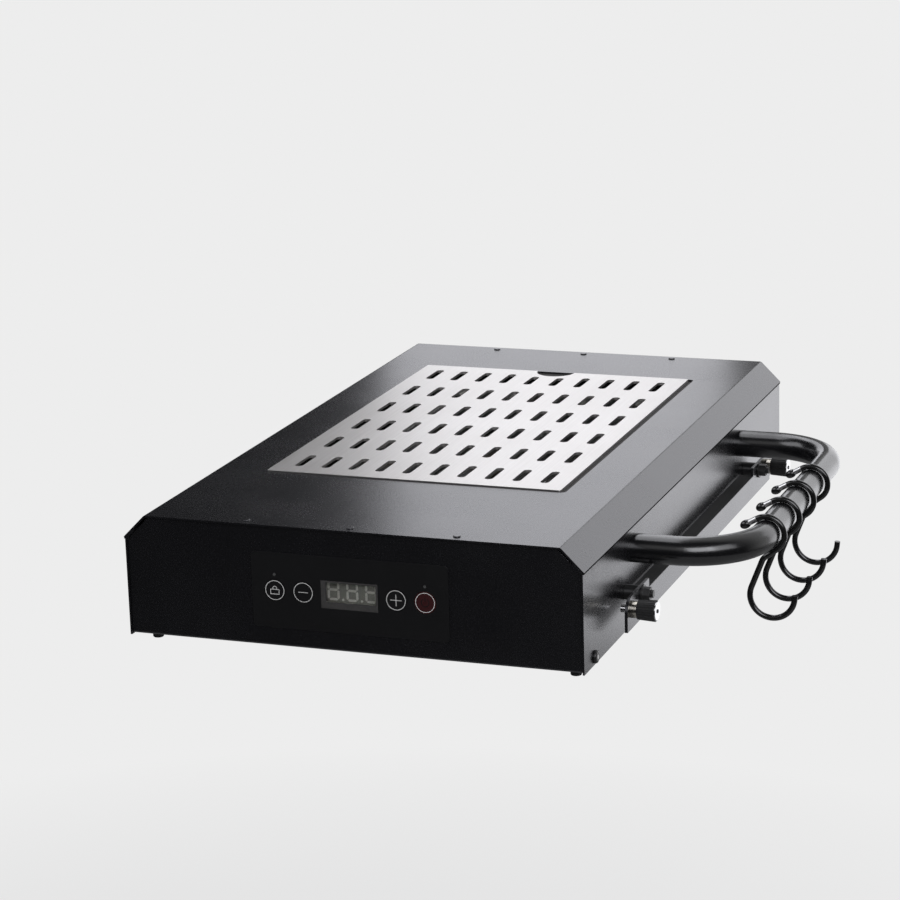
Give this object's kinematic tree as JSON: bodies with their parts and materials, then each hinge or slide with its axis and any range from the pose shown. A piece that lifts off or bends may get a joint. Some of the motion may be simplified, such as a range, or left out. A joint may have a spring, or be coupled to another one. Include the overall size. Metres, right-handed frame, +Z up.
{
  "type": "infrared side burner",
  "caption": "Electric infrared side burner: black sheet-steel box, slotted steel grate, key panel with display, tube handle with hanging hooks, accessory rail with thumb knobs.",
  "frame": {"origin": "centre of the mounting plate's bolt pattern, on the plate's outer face", "axes": "+X from the mounting plate out to the handle, +Y from the control panel to the rear, +Z up"},
  "size_m": [0.4072, 0.5052, 0.0904],
  "materials": {
    "black_powder_coat": "fine-texture satin powder coat",
    "galvanised_sheet": "galvanised",
    "grate_steel": "brushed",
    "pan_steel": "drawn, heat-dulled",
    "reflector_sheet": "bright",
    "black_fixings": "black oxide",
    "zinc_fixings": "zinc plated",
    "foot_rubber": "matte",
    "fibre_board": "pressed ceramic fibre",
    "quartz": "clear",
    "filament_wire": "oxidised",
    "ceramic_white": "unglazed ceramic",
    "lead_sleeve": "braided sleeve",
    "lead_sheath": "satin",
    "panel_print": "printed matte film",
    "power_print": "printed matte film",
    "window_lens": "smoked",
    "lamp_pipe": "clear",
    "circuit_board": "solder mask",
    "board_brass": "turned",
    "component_black": "moulded",
    "display_body": "moulded",
    "display_segments": "unlit",
    "ribbon_grey": "moulded",
    "hook_black": "gloss dipped",
    "knob_rubber": "knurled",
    "knob_chrome": "polished",
    "ferrule_steel": "turned"
  },
  "bodies": {
    "housing": {"top_cover": "black_powder_coat", "left_wall": "black_powder_coat", "right_wall": "black_powder_coat", "front_panel": "black_powder_coat", "rear_panel": "black_powder_coat", "mounting_plate": "black_powder_coat", "handle_bar": "black_powder_coat", "accessory_rail": "black_powder_coat", "base_pan": "galvanised_sheet", "support_rails": "galvanised_sheet", "heat_shield": "galvanised_sheet", "tube_brackets": "galvanised_sheet", "burner_pan": "pan_steel", "reflector": "reflector_sheet", "heat_sink": "reflector_sheet", "housing_rivets": "black_fixings", "housing_screws": "black_fixings", "rail_fixings": "black_fixings", "foot_fixings": "zinc_fixings", "pan_fixings": "zinc_fixings", "handle_fixings": "zinc_fixings", "board_screws": "zinc_fixings", "temperature_probe": "zinc_fixings", "tube_links": "zinc_fixings", "rubber_feet": "foot_rubber", "insulation_board": "fibre_board", "quartz_tubes": "quartz", "heating_filaments": "filament_wire", "tube_end_caps": "ceramic_white", "lead_bushings": "ceramic_white", "thermal_limiter": "ceramic_white", "element_leads": "lead_sleeve", "mains_lead": "lead_sheath", "control_overlay": "panel_print", "display_window": "window_lens", "indicator_lamps": "lamp_pipe", "control_board": "circuit_board", "power_board": "circuit_board", "board_posts": "board_brass", "inlet_pins": "board_brass", "key_switches": "component_black", "power_parts": "component_black", "mains_inlet": "component_black", "display_module": "display_body", "display_digits": "display_segments", "ribbon_cable": "ribbon_grey", "knob_ferrules": "ferrule_steel"},
    "grate": {"grate": "grate_steel"},
    "hook_1": {"hook_1": "hook_black"},
    "hook_2": {"hook_2": "hook_black"},
    "hook_3": {"hook_3": "hook_black"},
    "hook_4": {"hook_4": "hook_black"},
    "key_lock": {"key_lock": "panel_print"},
    "key_minus": {"key_minus": "panel_print"},
    "key_plus": {"key_plus": "panel_print"},
    "key_power": {"key_power": "power_print"},
    "knob_front": {"knob_grip_front": "knob_rubber", "knob_screw_front": "knob_chrome"},
    "knob_rear": {"knob_grip_rear": "knob_rubber", "knob_screw_rear": "knob_chrome"}
  },
  "joints": [
    {"name": "grate_lift", "type": "slide", "parent": "housing", "child": "grate", "axis": [0, 0, 1], "range_m": [0, 0.08]},
    {"name": "hook_1_swing", "type": "hinge", "parent": "housing", "child": "hook_1", "pos_m": [0.3862, -0.0925, 0.0174], "axis": [0, 1, 0], "range_deg": [-75, 75]},
    {"name": "hook_2_swing", "type": "hinge", "parent": "housing", "child": "hook_2", "pos_m": [0.3862, -0.0505, 0.0174], "axis": [0, 1, 0], "range_deg": [-75, 75]},
    {"name": "hook_3_swing", "type": "hinge", "parent": "housing", "child": "hook_3", "pos_m": [0.3862, -0.0085, 0.0174], "axis": [0, 1, 0], "range_deg": [-75, 75]},
    {"name": "hook_4_swing", "type": "hinge", "parent": "housing", "child": "hook_4", "pos_m": [0.3862, 0.0335, 0.0174], "axis": [0, 1, 0], "range_deg": [-75, 75]},
    {"name": "knob_front_turn", "type": "hinge", "parent": "housing", "child": "knob_front", "pos_m": [0.3312, -0.1845, -0.0102], "axis": [1, 0, 0], "continuous": true},
    {"name": "knob_rear_turn", "type": "hinge", "parent": "housing", "child": "knob_rear", "pos_m": [0.3312, 0.1655, -0.0102], "axis": [1, 0, 0], "continuous": true},
    {"name": "key_lock_press", "type": "slide", "parent": "housing", "child": "key_lock", "axis": [0, 1, 0], "range_m": [0, 0.0005], "stiffness_N_per_m": 800},
    {"name": "key_minus_press", "type": "slide", "parent": "housing", "child": "key_minus", "axis": [0, 1, 0], "range_m": [0, 0.0005], "stiffness_N_per_m": 800},
    {"name": "key_plus_press", "type": "slide", "parent": "housing", "child": "key_plus", "axis": [0, 1, 0], "range_m": [0, 0.0005], "stiffness_N_per_m": 800},
    {"name": "key_power_press", "type": "slide", "parent": "housing", "child": "key_power", "axis": [0, 1, 0], "range_m": [0, 0.0005], "stiffness_N_per_m": 800}
  ]
}
